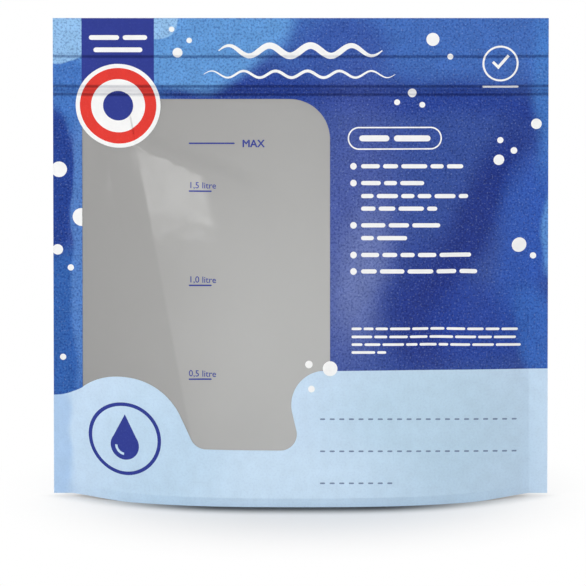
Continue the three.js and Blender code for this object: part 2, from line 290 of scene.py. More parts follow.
# Points along the crease and the foot of its flank, so that the mesh folds there and nowhere else.
FOLD_HALF = 0.7
FOLD_ROWS = range(32, 204, 2)
FOLDS = [
    (fold + beside + slant(CREASE_TOP, CREASE_FOOT, flat), flat)
    for flat in FOLD_ROWS
    for fold in (-CREASE_FLANK, 0)
    for beside in (-FOLD_HALF, 0, FOLD_HALF)
]


# A long straight edge is split, so that it follows the curved film and the fine grooves of the zip.
LONGEST_EDGE = 2
LONGEST_AT_ZIP = 0.4
ZIP_MARGIN = 2


def finer(loop):
    split = []
    for a, b in zip(loop, loop[1:] + loop[:1]):
        count = max(1, math.ceil(math.dist(a, b) / LONGEST_EDGE))
        if max(a[1], b[1]) > TAPE_BOTTOM - ZIP_MARGIN and min(a[1], b[1]) < TAPE_TOP + ZIP_MARGIN:
            count = max(count, math.ceil(abs(a[1] - b[1]) / LONGEST_AT_ZIP))
        for k in range(count):
            split.append((mix(a[0], b[0], k / count), mix(a[1], b[1], k / count)))
    return split


def loop_area(loop):
    return sum(a[0] * b[1] - b[0] * a[1] for a, b in zip(loop, loop[1:] + loop[:1])) / 2


# One film as a closed thin solid between two offsets from the pouch's inner surface. Inks are
# outlines on the flat film, in painting order, each with the place of its material; holes are cut
# out. The normals are those of the drawn surface, so that the triangles don't show.
MERGE_DISTANCE = 1e-4


def film_solid(name, side, near, far, outline, holes, inks, materials, inside):
    outline = finer(outline)
    points = [Vector(p) for p in outline]
    loops = [list(range(len(points)))]
    for loop in map(finer, [*holes, *(shape for shape, _ in inks)]):
        loops.append(list(range(len(points), len(points) + len(loop))))
        points += [Vector(p) for p in (loop if loop_area(loop) > 0 else reversed(loop))]
    low_x = min(p[0] for p in outline)
    high_x = max(p[0] for p in outline)
    low_flat = min(p[1] for p in outline)
    high_flat = max(p[1] for p in outline)
    inner_points = [(x, flat) for x in FILM_COLUMNS for flat in FILM_ROWS]
    inner_points += [(-side * x, flat) for x, flat in FOLDS]
    for x, flat in inner_points:
        if low_x <= x <= high_x and low_flat <= flat <= high_flat:
            points.append(Vector((x, flat)))
    spots, _, cells, _, _, owners = delaunay_2d_cdt(points, [], loops, 0, MERGE_DISTANCE, True)
    first_ink = 1 + len(holes)
    kept = []
    for cell, owner in zip(cells, owners):
        if 0 in owner and not any(0 < k < first_ink for k in owner):
            top = max(owner)
            kept.append((cell, inks[top - first_ink][1] if top >= first_ink else 0))
    used = sorted({k for cell, _ in kept for k in cell})
    order = {k: n for n, k in enumerate(used)}
    spots = [spots[k] for k in used]
    count = len(spots)
    vertices = [film_point(p.x, p.y, side, far) * MM for p in spots]
    vertices += [film_point(p.x, p.y, side, near) * MM for p in spots]
    outward = [film_normal(p.x, p.y, side) for p in spots]
    faces = []
    slots = []
    normals = []
    edges = []
    for cell, slot in kept:
        around = [order[k] for k in (cell if side < 0 else reversed(cell))]
        faces.append(around)
        slots.append(slot)
        normals += [outward[k] for k in around]
        faces.append([k + count for k in reversed(around)])
        slots.append(inside)
        normals += [-outward[k] for k in reversed(around)]
        edges += zip(around, around[1:] + around[:1])
    # Narrow walls close the film along every edge that has a face on one side alone.
    known = set(edges)
    for a, b in edges:
        if (b, a) not in known:
            faces.append([b, a, a + count, b + count])
            slots.append(inside)
            along = vertices[a] - vertices[b]
            through = vertices[a + count] - vertices[a]
            normals += [along.cross(through).normalized()] * 4
    mesh = bpy.data.meshes.new(name)
    mesh.from_pydata(vertices, [], faces)
    for material in materials:
        mesh.materials.append(material)
    mesh.polygons.foreach_set("material_index", slots)
    mesh.polygons.foreach_set("use_smooth", [True] * len(faces))
    mesh.normals_split_custom_set(normals)
    loose = bpy.data.objects.new(name, mesh)
    bpy.context.collection.objects.link(loose)
    return loose


DISC_LEAST_SIDES = 16
DISC_SIDES_PER_MM = 12


def disc(x, flat, radius):
    count = max(DISC_LEAST_SIDES, round(radius * DISC_SIDES_PER_MM))
    turns = [2 * math.pi * k / count for k in range(count)]
    return [(x + radius * math.cos(a), flat + radius * math.sin(a)) for a in turns]


ARC_STEP = math.radians(4)


def arc(circle, start, end):
    x, flat, radius = circle
    count = math.ceil(abs(end - start) / ARC_STEP)
    turns = [mix(start, end, k / count) for k in range(count + 1)]
    return [(x + radius * math.cos(a), flat + radius * math.sin(a)) for a in turns]


# Angle on the first circle where a straight line leaves it to join the other side of the second.
def cross_tangent(first, second, turn):
    across = second[0] - first[0]
    upward = second[1] - first[1]
    radii = first[2] + second[2]
    squared = across * across + upward * upward
    run = math.sqrt(max(0, squared - radii * radii))
    along = (run * across + turn * radii * upward) / squared
    rise = (run * upward - turn * radii * across) / squared
    return math.atan2(turn * along, -turn * rise)


# The window has a hill and a bump of print at its foot and the badge over its top left corner. Each
# is a circle, given by its middle and radius.
window_low, window_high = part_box("window_film")
WINDOW_LAP = 1.5
WINDOW_LEFT = window_low.x / MM + WINDOW_LAP
WINDOW_RIGHT = window_high.x / MM - WINDOW_LAP
WINDOW_BOTTOM = window_low.z / MM + WINDOW_LAP
WINDOW_TOP = window_high.z / MM - WINDOW_LAP
WINDOW_CORNER = 20.5
FOOT_CORNER = 8.2
FOOT_SPREAD = 2
HILL = (WINDOW_LEFT + 21, WINDOW_BOTTOM + 2.6, 31.6)
BUMP = (WINDOW_RIGHT - 2.6, WINDOW_BOTTOM + 23, 17)
BADGE = (WINDOW_LEFT + 18.2, WINDOW_TOP - 3.5, 21.4)


def window_outline(grow, with_badge):
    hill = (HILL[0], HILL[1], HILL[2] - grow)
    bump = (BUMP[0], BUMP[1], BUMP[2] - grow)
    foot_flat = WINDOW_BOTTOM + FOOT_CORNER
    foot_radius = FOOT_CORNER + grow

    def foot_reach(round_part):
        radii = round_part[2] + foot_radius
        rise = round_part[1] - foot_flat
        return math.sqrt(radii * radii - rise * rise) + FOOT_SPREAD

    foot_left = (hill[0] + foot_reach(hill), foot_flat, foot_radius)
    foot_right = (bump[0] - foot_reach(bump), foot_flat, foot_radius)
    corner_flat = WINDOW_TOP - WINDOW_CORNER
    corner_right = (WINDOW_RIGHT - WINDOW_CORNER, corner_flat, WINDOW_CORNER + grow)
    corner_left = (WINDOW_LEFT + WINDOW_CORNER, corner_flat, WINDOW_CORNER + grow)
    hill_start = math.acos((WINDOW_LEFT - grow - hill[0]) / hill[2])
    hill_end = cross_tangent(hill, foot_left, 1)
    bump_start = cross_tangent(foot_right, bump, -1)
    bump_end = math.acos((WINDOW_RIGHT + grow - bump[0]) / bump[2])
    badge_top = math.asin((WINDOW_TOP - BADGE[1]) / BADGE[2])
    badge_left = -math.acos((WINDOW_LEFT - BADGE[0]) / BADGE[2])
    quarter = math.pi / 2
    badge = arc(BADGE, badge_top, badge_left)
    plain_corner = arc(corner_left, quarter, 2 * quarter)
    return [
        *arc(hill, hill_start, hill_end),
        *arc(foot_left, hill_end + 2 * quarter, 3 * quarter),
        *arc(foot_right, 3 * quarter, bump_start + 4 * quarter),
        *arc(bump, bump_start + 2 * quarter, bump_end),
        *arc(corner_right, 0, quarter),
        *(badge if with_badge else plain_corner),
    ]


# Print runs straight to the eye in front of the bag, so it follows the film's fall to the sides.
def level(x, flat, start):
    fall = (belly(start, flat) - belly(x, flat)) * math.tan(CAMERA_RISE)
    return flat - fall - (standing_height(x, flat) - standing_height(start, flat))


# A bar of print with round ends. One that belongs to a longer line is level with the line's start.
BAR_STEP = 4
CAP_TURNS = [math.radians(turn) for turn in range(-60, 61, 30)]


def bar(start, end, flat, height, line_start=None):
    half = height / 2
    line_start = start if line_start is None else line_start
    count = max(1, round((end - start) / BAR_STEP))
    across = [mix(start + half, end - half, k / count) for k in range(count + 1)]
    below = [(x, level(x, flat, line_start) - half) for x in across]
    above = [(x, level(x, flat, line_start) + half) for x in reversed(across)]
    last = (end - half, level(end - half, flat, line_start))
    first = (start + half, level(start + half, flat, line_start))
    right = [(last[0] + half * math.cos(a), last[1] + half * math.sin(a)) for a in CAP_TURNS]
    left = [(first[0] - half * math.cos(a), first[1] - half * math.sin(a)) for a in CAP_TURNS]
    return below + right + above + left


# A line of print stands as plain rounded bars, one for each word.
SHORTEST_WORD = 0.35
LEAST_LENGTH = 1.6
WORD_GAP = 0.75
LINE_REST = 1


def word_bars(start, end, flat, height, longest, draw):
    bars = []
    x = start
    while x < end - LINE_REST:
        length = draw.uniform(SHORTEST_WORD, 1) * longest
        stop = min(end, x + max(length, LEAST_LENGTH * height))
        if end - stop < longest * SHORTEST_WORD:
            stop = end
        bars.append(bar(x, stop, flat, height, start))
        x = stop + height * WORD_GAP
    return bars


WAVE_STEP = 0.8
WAVE_TIP = 0.01


def wave_line(start, end, flat, swing, pitch, width):
    count = round((end - start) / WAVE_STEP)
    path = []
    taper = []
    for k in range(count + 1):
        x = mix(start, end, k / count)
        angle = 2 * math.pi * (x - start) / pitch
        slope = swing * 2 * math.pi / pitch * math.cos(angle)
        tilt = math.hypot(1, slope)
        path.append((x, flat + swing * math.sin(angle), -slope / tilt, 1 / tilt))
        inset = min(max(k / count, WAVE_TIP), 1 - WAVE_TIP)
        taper.append(width / 2 * math.sqrt(math.sin(math.pi * inset)))
    above = [(x + nx * t, f + nf * t) for (x, f, nx, nf), t in zip(path, taper)]
    below = [(x - nx * t, f - nf * t) for (x, f, nx, nf), t in zip(path, taper)]
    return below + above[::-1]


BLUE_FILM, PALE_FILM, WHITE_INK, DEEP_INK, RED_INK, LINE_INK, INSIDE = range(7)
front_outline = [(-BAG_HALF, 0), (BAG_HALF, 0), (BAG_HALF, BAG_HEIGHT), (-BAG_HALF, BAG_HEIGHT)]

# The pale field covers the foot. Its edge runs level to the window and sweeps down to the left seal.
PALE_TOP = 69.3
PALE_RISE = 1.2
PALE_BEHIND = 10
PALE_STEP = 55.6
PALE_LEFT = 51
PALE_SWEEP = 0.026
SWEEP_END = -123.5
pale_field = [(-BAG_HALF, 0), (BAG_HALF, 0)]
for x in range(125, 14, -5):
    rise = PALE_RISE * share(x, WINDOW_RIGHT, BAG_HALF)
    pale_field.append((x, level(x, PALE_TOP, WINDOW_RIGHT) + rise))
pale_field += [(WINDOW_LEFT + PALE_BEHIND, PALE_TOP), (WINDOW_LEFT, PALE_STEP)]
for x in range(-112, -125, -2):
    pale_field.append((x, PALE_LEFT + PALE_SWEEP * max(0, x - SWEEP_END) ** 2))
pale_field.append((-BAG_HALF, PALE_LEFT))
front_inks = [(pale_field, PALE_FILM)]

# A band hangs from the top edge to the badge, which is a set of rings given by how far they shrink.
BAND_LEFT = -110.5
BAND_RIGHT = -74
BADGE_RINGS = ((0, WHITE_INK), (2.1, RED_INK), (7.8, WHITE_INK), (13.8, DEEP_INK))
band = [(BAND_LEFT, BADGE[1]), (BAND_RIGHT, BADGE[1]), (BAND_RIGHT, BAG_HEIGHT), (BAND_LEFT, BAG_HEIGHT)]
front_inks.append((band, DEEP_INK))
for shrink, ring_ink in BADGE_RINGS:
    front_inks.append((disc(BADGE[0], BADGE[1], BADGE[2] - shrink), ring_ink))

BUBBLES = [
    (-65.1, 239.4, 1.4), (-56.2, 233.8, 1.4), (-62.1, 227.6, 2.5), (66.6, 234.3, 3.3),
    (75.4, 225.6, 1.5), (56.2, 207.1, 2.2), (48.6, 202.3, 1.5), (61.3, 201.0, 1.5),
    (118.9, 190.7, 2.7), (100.7, 182.6, 1.6), (107.6, 177.1, 1.7), (100.0, 172.5, 2.7),
    (110.3, 128.8, 3.7), (117.4, 122.9, 1.6), (-122.0, 167.3, 4.0), (-110.6, 142.9, 4.6),
    (-122.8, 126.0, 2.7), (-116.2, 116.7, 1.6), (-120.2, 70.5, 1.6), (5.4, 60.4, 1.7),
]
EDGE_BUBBLES = [(14.8, 70.5, 3.7), (4.1, 72.6, 1.9)]
for x, flat, radius in BUBBLES + EDGE_BUBBLES:
    front_inks.append((disc(x, flat, radius), WHITE_INK))

print_draw = random.Random(7)


# Lines of print, each given by its height on the film, its start and its end.
def print_lines(lines, height, longest):
    for flat, start, end in lines:
        for word in word_bars(start, end, flat, height, longest, print_draw):
            front_inks.append((word, WHITE_INK))


BULLET_X = 26.6
BULLET_RADIUS = 1.65
LIST_LEFT = 30.4
LIST_HEIGHT = 2.1
LIST_WORD = 17
LIST_BULLETS = (170.3, 162.0, 141.2, 126.6, 118.5)
LIST_LINES = (
    (170.3, 82.0), (162.0, 62.3), (155.6, 84.5), (149.4, 68.9),
    (141.2, 70.4), (134.9, 53.7), (126.6, 86.0), (118.5, 89.1),
)
NOTE_LEFT = 25.6
NOTE_HEIGHT = 1.3
NOTE_WORD = 13
NOTE_LINES = ((90.2, 109.8), (86.2, 108.8), (82.4, 111.3), (78.5, 43.1))
for flat in LIST_BULLETS:
    front_inks.append((disc(BULLET_X, flat, BULLET_RADIUS), WHITE_INK))
print_lines([(flat, LIST_LEFT, end) for flat, end in LIST_LINES], LIST_HEIGHT, LIST_WORD)
print_lines([(flat, NOTE_LEFT, end) for flat, end in NOTE_LINES], NOTE_HEIGHT, NOTE_WORD)


def pill(left, right, flat, height):
    half = height / 2
    left_end = (left + half, flat, half)
    right_end = (right - half, flat, half)
    quarter = math.pi / 2
    return arc(right_end, -quarter, quarter) + arc(left_end, quarter, 3 * quarter)


PILL_LEFT = 23.7
PILL_RIGHT = 71.2
PILL_FLAT = 184.1
PILL_HEIGHT = 11.4
PILL_STROKE = 0.7
PILL_LINE = (PILL_FLAT, 29.5, 65.5)
PILL_PRINT = 3
PILL_WORD = 19
for inset, pill_ink in ((0, WHITE_INK), (PILL_STROKE, BLUE_FILM)):
    pill_outline = pill(PILL_LEFT + inset, PILL_RIGHT - inset, PILL_FLAT, PILL_HEIGHT - 2 * inset)
    front_inks.append((pill_outline, pill_ink))
print_lines([PILL_LINE], PILL_PRINT, PILL_WORD)

# Two wave lines across the top, each by start, end, height on the film, swing, pitch and width.
TOP_WAVES = ((-41.4, 41.1, 228.6, 2.6, 20.6, 3.4), (-48.9, 47.6, 216.6, 1.7, 16.1, 1.5))
for wave in TOP_WAVES:
    front_inks.append((wave_line(*wave), WHITE_INK))
BAND_LINES = ((235.2, -106.8, -77.4), (229, -104.5, -79.8))
BAND_PRINT = 2.4
BAND_WORD = 21
print_lines(BAND_LINES, BAND_PRINT, BAND_WORD)

# A tick in a ring, with a line under it.
TICK_X = 100.7
TICK_FLAT = 222.0
TICK_RADIUS = 9.1
TICK_STROKE = 0.95
TICK_LINE_FLAT = 210.2
TICK_LINE_HEIGHT = 0.9
TICK_CORNERS = ((-4.3, 0.4), (-3.4, 1.4), (-1.2, -0.8), (3.6, 4.6), (4.6, 3.6), (-1.1, -2.9))
tick_shape = [(TICK_X + x, TICK_FLAT + flat) for x, flat in reversed(TICK_CORNERS)]
tick_line = bar(TICK_X - TICK_RADIUS, TICK_X + TICK_RADIUS, TICK_LINE_FLAT, TICK_LINE_HEIGHT)
front_inks.append((disc(TICK_X, TICK_FLAT, TICK_RADIUS), WHITE_INK))
front_inks.append((disc(TICK_X, TICK_FLAT, TICK_RADIUS - TICK_STROKE), BLUE_FILM))
front_inks.append((tick_shape, WHITE_INK))
front_inks.append((tick_line, WHITE_INK))

# A drop in a ring, with a curved glint at its lower left.
DROP_X = -88.9
DROP_FLAT = 32.4
DROP_RING = 18.4
DROP_STROKE = 1.8
DROP_SINK = 3.4
DROP_RADIUS = 7.2
DROP_TIP = 12.5
DROP_START = math.radians(-215)
DROP_END = math.radians(35)
GLINT_OUTER = 4.9
GLINT_INNER = 3.7
GLINT_START = math.radians(180)
GLINT_END = math.radians(265)
round_flat = DROP_FLAT - DROP_SINK
drop_shape = arc((DROP_X, round_flat, DROP_RADIUS), DROP_START, DROP_END)
drop_shape.append((DROP_X, DROP_FLAT + DROP_TIP))
glint = arc((DROP_X, round_flat, GLINT_OUTER), GLINT_START, GLINT_END)
glint += arc((DROP_X, round_flat, GLINT_INNER), GLINT_END, GLINT_START)
front_inks.append((disc(DROP_X, DROP_FLAT, DROP_RING), DEEP_INK))
front_inks.append((disc(DROP_X, DROP_FLAT, DROP_RING - DROP_STROKE), PALE_FILM))
front_inks.append((drop_shape, DEEP_INK))
front_inks.append((glint, PALE_FILM))

# Dashed lines to write on, each by its height on the film and its end.
DASH = 2.6
DASH_LEFT = 9.7
DASH_PITCH = 4.85
DASH_WIDTH = 0.8
DASH_LINES = ((45.3, 107), (29.1, 107), (12.8, 45))
for flat, end in DASH_LINES:
    for k in range(int((end - DASH_LEFT) / DASH_PITCH) + 1):
        start = DASH_LEFT + k * DASH_PITCH
        front_inks.append((bar(start, start + DASH, flat, DASH_WIDTH, DASH_LEFT), LINE_INK))


# A colour given by its levels on a screen, from 0 to 255.
def ink(red, green, blue):
    levels = [c / 255 for c in (red, green, blue)]
    return (*((c / 12.92 if c <= 0.04045 else ((c + 0.055) / 1.055) ** 2.4) for c in levels), 1)


def new_finish(name, roughness, gloss=0.5):
    material = bpy.data.materials.new(name)
    material.use_nodes = True
    shader = material.node_tree.nodes["Principled BSDF"]
    shader.inputs["Roughness"].default_value = roughness
    shader.inputs["Specular IOR Level"].default_value = gloss
    return material, material.node_tree, shader


# Place on the bag in millimetres, seen straight from the front.
def film_place(tree):
    coordinates = tree.nodes.new("ShaderNodeTexCoord")
    place = tree.nodes.new("ShaderNodeMapping")
    place.inputs["Scale"].default_value = (1 / MM, 0, 1 / MM)
    tree.links.new(coordinates.outputs["Object"], place.inputs["Vector"])
    return place.outputs["Vector"]


def noise(tree, place, size, detail):
    texture = tree.nodes.new("ShaderNodeTexNoise")
    texture.inputs["Scale"].default_value = 1 / size
    texture.inputs["Detail"].default_value = detail
    tree.links.new(place, texture.inputs["Vector"])
    return texture


# A value is carried from one range to another and held within it.
def spread(tree, value, low, high, to_low, to_high, smooth=True):
    span = tree.nodes.new("ShaderNodeMapRange")
    span.interpolation_type = "SMOOTHSTEP" if smooth else "LINEAR"
    for socket, number in zip(("From Min", "From Max", "To Min", "To Max"), (low, high, to_low, to_high)):
        span.inputs[socket].default_value = number
    tree.links.new(value, span.inputs["Value"])
    return span.outputs["Result"]


# A socket takes either a plain value or a link from another node.
def feed(tree, socket, value):
    if isinstance(value, bpy.types.NodeSocket):
        tree.links.new(value, socket)
    else:
        socket.default_value = value


def layer(tree, under, over, amount, blend="MIX"):
    blended = tree.nodes.new("ShaderNodeMix")
    blended.data_type = "RGBA"
    blended.blend_type = blend
    feed(tree, blended.inputs[0], amount)
    feed(tree, blended.inputs[6], under)
    feed(tree, blended.inputs[7], over)
    return blended.outputs[2]


# A wash of colour: a soft-edged oval on the film, given by its middle, reach, turn and edge.
def wash(tree, place, under, colour, middle, reach, turn, edge, strength=1.0, blend="MIX"):
    spot = tree.nodes.new("ShaderNodeMapping")
    spot.vector_type = "TEXTURE"
    spot.inputs["Location"].default_value = (middle[0], 0, middle[1])
    spot.inputs["Rotation"].default_value = (0, math.radians(turn), 0)
    spot.inputs["Scale"].default_value = (reach[0], 1e6, reach[1])
    tree.links.new(place, spot.inputs["Vector"])
    length = tree.nodes.new("ShaderNodeVectorMath")
    length.operation = "LENGTH"
    tree.links.new(spot.outputs["Vector"], length.inputs[0])
    amount = spread(tree, length.outputs["Value"], 1 - edge, 1 + edge, strength, 0)
    return layer(tree, under, colour, amount, blend)


# Edges of the washes wander as wet paint does.
def wandering(tree, place, size, reach):
    wander = noise(tree, place, size, 1)
    centred = tree.nodes.new("ShaderNodeVectorMath")
    centred.operation = "SUBTRACT"
    centred.inputs[1].default_value = (0.5, 0.5, 0.5)
    tree.links.new(wander.outputs["Color"], centred.inputs[0])
    scaled = tree.nodes.new("ShaderNodeVectorMath")
    scaled.operation = "SCALE"
    scaled.inputs["Scale"].default_value = reach
    tree.links.new(centred.outputs["Vector"], scaled.inputs[0])
    moved = tree.nodes.new("ShaderNodeVectorMath")
    moved.operation = "ADD"
    tree.links.new(place, moved.inputs[0])
    tree.links.new(scaled.outputs["Vector"], moved.inputs[1])
    return moved.outputs["Vector"]


# Printed grain: dark specks and light flecks of about half a millimetre, with a slow mottle. Painted
# shade darkens the grooves of the zip and the strip between them right across the bag.
MOTTLE_SIZE = 7
MOTTLE = 0.03
MOTTLE_WITH_SPECKS = 0.1
SPECK_SIZE = 1.1
SPECK_TONE = (0.3, 0.36, 0.55, 1)
FLECK_SIZE = 0.9
FLECK_TONE = (0.62, 0.78, 1, 1)
RIGHT_ACROSS = 1e4
GROOVE_SHADE_COLOUR = (0.3, 0.32, 0.4, 1)
GROOVE_SHADE = (RIGHT_ACROSS, 0.7)
GROOVE_EDGE = 0.7
STRIP_SHADE_COLOUR = (0.72, 0.72, 0.76, 1)
STRIP_SHADE = (RIGHT_ACROSS, RIB_PITCH * 0.6)
STRIP_EDGE = 0.1
STRIP_STRENGTH = 0.5


def grain_and_painted_groove_shade(tree, place, colour, dark, light, tone=0.7):
    mottle = noise(tree, place, MOTTLE_SIZE, 4)
    darker = 1 - MOTTLE - dark * MOTTLE_WITH_SPECKS
    lighter = 1 + MOTTLE + dark * MOTTLE_WITH_SPECKS
    slow = spread(tree, mottle.outputs["Fac"], 0.3, 0.7, darker, lighter, False)
    toned = layer(tree, colour, slow, 1.0, "MULTIPLY")
    speck = noise(tree, place, SPECK_SIZE, 1)
    specks = spread(tree, speck.outputs["Fac"], 0.46, 0.66, 0, dark)
    darkened = layer(tree, toned, SPECK_TONE, specks, "MULTIPLY")
    fleck = noise(tree, place, FLECK_SIZE, 1)
    flecks = spread(tree, fleck.outputs["Fac"], 0.56, 0.75, 0, light)
    shaded = layer(tree, darkened, FLECK_TONE, flecks)
    # Painted shade along the grooves of the zip and the strip between them.
    for groove, strength in ZIP_GROOVES:
        shade = (GROOVE_SHADE_COLOUR, (0, groove), GROOVE_SHADE, 0, GROOVE_EDGE, tone * strength)
        shaded = wash(tree, place, shaded, *shade, "MULTIPLY")
    strip = (STRIP_SHADE_COLOUR, (0, ZIP_MIDDLE), STRIP_SHADE, 0, STRIP_EDGE, STRIP_STRENGTH)
    return wash(tree, place, shaded, *strip, "MULTIPLY")


# The film's skin: a satin surface that wavers slightly, as rolled film does.
WAVER_SIZE = 9
PRINT_WAVER = 0.05


def film_skin(tree, shader, place, height):
    waver = noise(tree, place, WAVER_SIZE, 2)
    skin = tree.nodes.new("ShaderNodeBump")
    skin.inputs["Strength"].default_value = 1
    skin.inputs["Distance"].default_value = height * MM
    tree.links.new(waver.outputs["Fac"], skin.inputs["Height"])
    tree.links.new(skin.outputs["Normal"], shader.inputs["Normal"])


# Washes are given by colour, middle, reach, turn, edge and strength, in the order of painting.
FILM_ROUGHNESS = 0.42
FILM_GLOSS = 0.09
blue_film, tree, shader = new_finish("blue_print_and_painted_light", FILM_ROUGHNESS, FILM_GLOSS)
place = film_place(tree)
wet = wandering(tree, place, 40, 14)
colour = ink(54, 80, 154)
for paint in (
    (ink(68, 112, 188), (80, 246), (120, 34), 0, 0.4, 0.9),
    # Painted shade: a darker band along the zip.
    (ink(32, 60, 148), (40, 205), (130, 8), 3, 0.7, 0.7),
    (ink(54, 84, 164), (22, 228), (24, 18), 10, 0.35, 0.8),
    (ink(70, 122, 196), (-110, 212), (40, 26), 0, 0.25, 0.9),
    (ink(98, 154, 214), (-70, 252), (66, 42), 8, 0.08, 1),
    # Painted light: lighter down the right seal.
    (ink(72, 128, 202), (124, 205), (7, 46), 0, 0.5, 0.8),
    # Painted highlight: a lilac sheen right of the window, brightest in its middle (two rows).
    (ink(84, 98, 164), (22, 128), (26, 72), 6, 0.7, 0.7),
    (ink(122, 136, 186), (31, 118), (12, 30), 8, 0.8, 0.6),
    # Painted shade: a dark diagonal down the right trough, which is also shaped in the film (two rows).
    (ink(24, 46, 128), (90, 148), (12, 50), 26, 0.6, 0.85),
    (ink(26, 48, 132), (64, 96), (20, 32), 10, 0.6, 0.85),
    (ink(34, 66, 158), (92, 90), (26, 20), 0, 0.4, 0.7),
    (ink(50, 92, 182), (114, 132), (13, 40), 6, 0.5, 0.8),
    (ink(58, 106, 188), (120, 84), (11, 26), -12, 0.3, 0.8),
    # Painted light: lighter on the right seal.
    (ink(96, 150, 214), (128, 134), (7, 20), 0, 0.2, 0.8),
    (ink(50, 98, 172), (-120, 86), (20, 38), 0, 0.15, 1),
    # Painted light on the strip inside the left seal, and painted shade on the seal (two rows).
    (ink(88, 134, 200), (-112, 130), (4, 72), 0, 0.3, 0.8),
    (ink(36, 66, 146), (-123, 160), (8, 37), 0, 0.12, 1),
):
    colour = wash(tree, wet, colour, *paint)
crisp = wandering(tree, place, 14, 3)
for paint in (
    (ink(148, 192, 232), (-124, 242), (22, 20.5), -10, 0.03, 0.95),
    (ink(148, 192, 232), (-74, 246), (13, 11), 20, 0.03, 0.95),
):
    colour = wash(tree, crisp, colour, *paint)
tree.links.new(grain_and_painted_groove_shade(tree, place, colour, 0.6, 0.12), shader.inputs["Base Color"])
film_skin(tree, shader, place, PRINT_WAVER)

pale_film, tree, shader = new_finish("pale_print_and_painted_shade", FILM_ROUGHNESS, FILM_GLOSS)
place = film_place(tree)
wet = wandering(tree, place, 20, 14)
colour = ink(198, 220, 240)
for paint in (
    # Painted shade: greyer over the right of the pale field.
    (ink(186, 212, 230), (66, 40), (46, 40), 10, 0.6, 0.9),
    (ink(202, 224, 242), (-18, 14), (60, 18), 0, 0.6, 0.8),
    (ink(186, 212, 232), (-70, 24), (30, 34), 0, 0.6, 0.7),
    # Painted shade on the left seal.
    (ink(166, 196, 230), (-124, 24), (9, 40), 0, 0.3, 0.8),
):
    colour = wash(tree, wet, colour, *paint)
tree.links.new(grain_and_painted_groove_shade(tree, place, colour, 0.07, 0.2), shader.inputs["Base Color"])
film_skin(tree, shader, place, PRINT_WAVER)


# An ink with its grain and the painted shade over the zip's grooves.
def plain_ink(name, colour, dark, light, tone=0.7):
    material, tree, shader = new_finish(name, FILM_ROUGHNESS, FILM_GLOSS)
    place = film_place(tree)
    tree.links.new(grain_and_painted_groove_shade(tree, place, colour, dark, light, tone), shader.inputs["Base Color"])
    film_skin(tree, shader, place, PRINT_WAVER)
    return material


front_materials = [
    blue_film,
    pale_film,
    plain_ink("white_ink", ink(243, 243, 242), 0.02, 0.05, 0.3),
    plain_ink("deep_blue_ink", ink(48, 60, 142), 0.06, 0.02),
    plain_ink("red_ink", ink(224, 60, 52), 0.03, 0.02),
    plain_ink("writing_line_ink", ink(112, 130, 160), 0.05, 0.05),
    plain_ink("sealing_side", ink(226, 227, 227), 0.02, 0.03),
]
front_panel = film_solid(
    "front_panel_film",
    FRONT_SIDE,
    0,
    FILM,
    front_outline,
    [window_outline(0, True)],
    front_inks,
    front_materials,
    INSIDE,
)
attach(front_panel, "root")
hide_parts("front_panel")

# Window: clear glossy film, welded behind the opening with a narrow lap. Through it the pale
# sealing side of the back panel shows, and the fill scale is printed on it in deep blue.
CLEAR_FILM, SCALE_INK, SPOT_INK = range(3)
SCALE_LEFT = -56.5
SCALE_STROKE = 0.75
MAX_FLAT = 181.5
MAX_END = -33.3
MARK_END = -44.9
MARKS = (("1,5 litre", 158.1), ("1,0 litre", 111.0), ("0,5 litre", 64.4))
scale_inks = [(bar(SCALE_LEFT, MAX_END, MAX_FLAT, SCALE_STROKE), SCALE_INK)]
for _, flat in MARKS:
    scale_inks.append((bar(SCALE_LEFT, MARK_END, flat, SCALE_STROKE), SCALE_INK))
for x, flat, radius in EDGE_BUBBLES:
    scale_inks.append((disc(x, flat, radius), SPOT_INK))


# Letters and figures as outlines on the film; the counters inside letters stay clear. Every outline
# is moved out by the same amount, which makes the strokes bolder.
CAPITAL_SHARE = 0.7


def lettering(text, left, base, height, bolder):
    curve = bpy.data.curves.new("lettering", "FONT")
    curve.body = text
    curve.size = height / CAPITAL_SHARE
    curve.fill_mode = "NONE"
    curve.resolution_u = 4
    loose = bpy.data.objects.new("lettering", curve)
    bpy.context.collection.objects.link(loose)
    shape = loose.evaluated_get(bpy.context.evaluated_depsgraph_get()).to_mesh()
    spots = [(left + v.co.x, base + v.co.y) for v in shape.vertices]
    following = {}
    for edge in shape.edges:
        a, b = edge.vertices
        following.setdefault(a, []).append(b)
        following.setdefault(b, []).append(a)
    loops = []
    unseen = set(following)
    while unseen:
        here = min(unseen)
        loop = []
        while here is not None:
            loop.append(spots[here])
            unseen.discard(here)
            here = next((k for k in following[here] if k in unseen), None)
        loops.append(loop)
    bpy.data.objects.remove(loose)
    bpy.data.curves.remove(curve)

    outward = loop_area(max(loops, key=lambda loop: abs(loop_area(loop))))
    letters = []
    counters = []
    for loop in loops:
        heavier = []
        for before, here, after in zip(loop[-1:] + loop[:-1], loop, loop[1:] + loop[:1]):
            along = (Vector(after) - Vector(before)).normalized() * math.copysign(bolder, outward)
            heavier.append((here[0] + along.y, here[1] - along.x))
        if loop_area(loop) * outward > 0:
            letters.append((heavier, SCALE_INK))
        else:
            counters.append((heavier, CLEAR_FILM))
    return letters + counters


MAX_LEFT = -29.6
MAX_BASE = 179.7
MAX_HEIGHT = 3.7
MAX_BOLDER = 0.13
MARK_LIFT = 1.5
MARK_HEIGHT = 3.1
MARK_BOLDER = 0.03
scale_inks += lettering("MAX", MAX_LEFT, MAX_BASE, MAX_HEIGHT, MAX_BOLDER)
for text, flat in MARKS:
    scale_inks += lettering(text, SCALE_LEFT, flat + MARK_LIFT, MARK_HEIGHT, MARK_BOLDER)
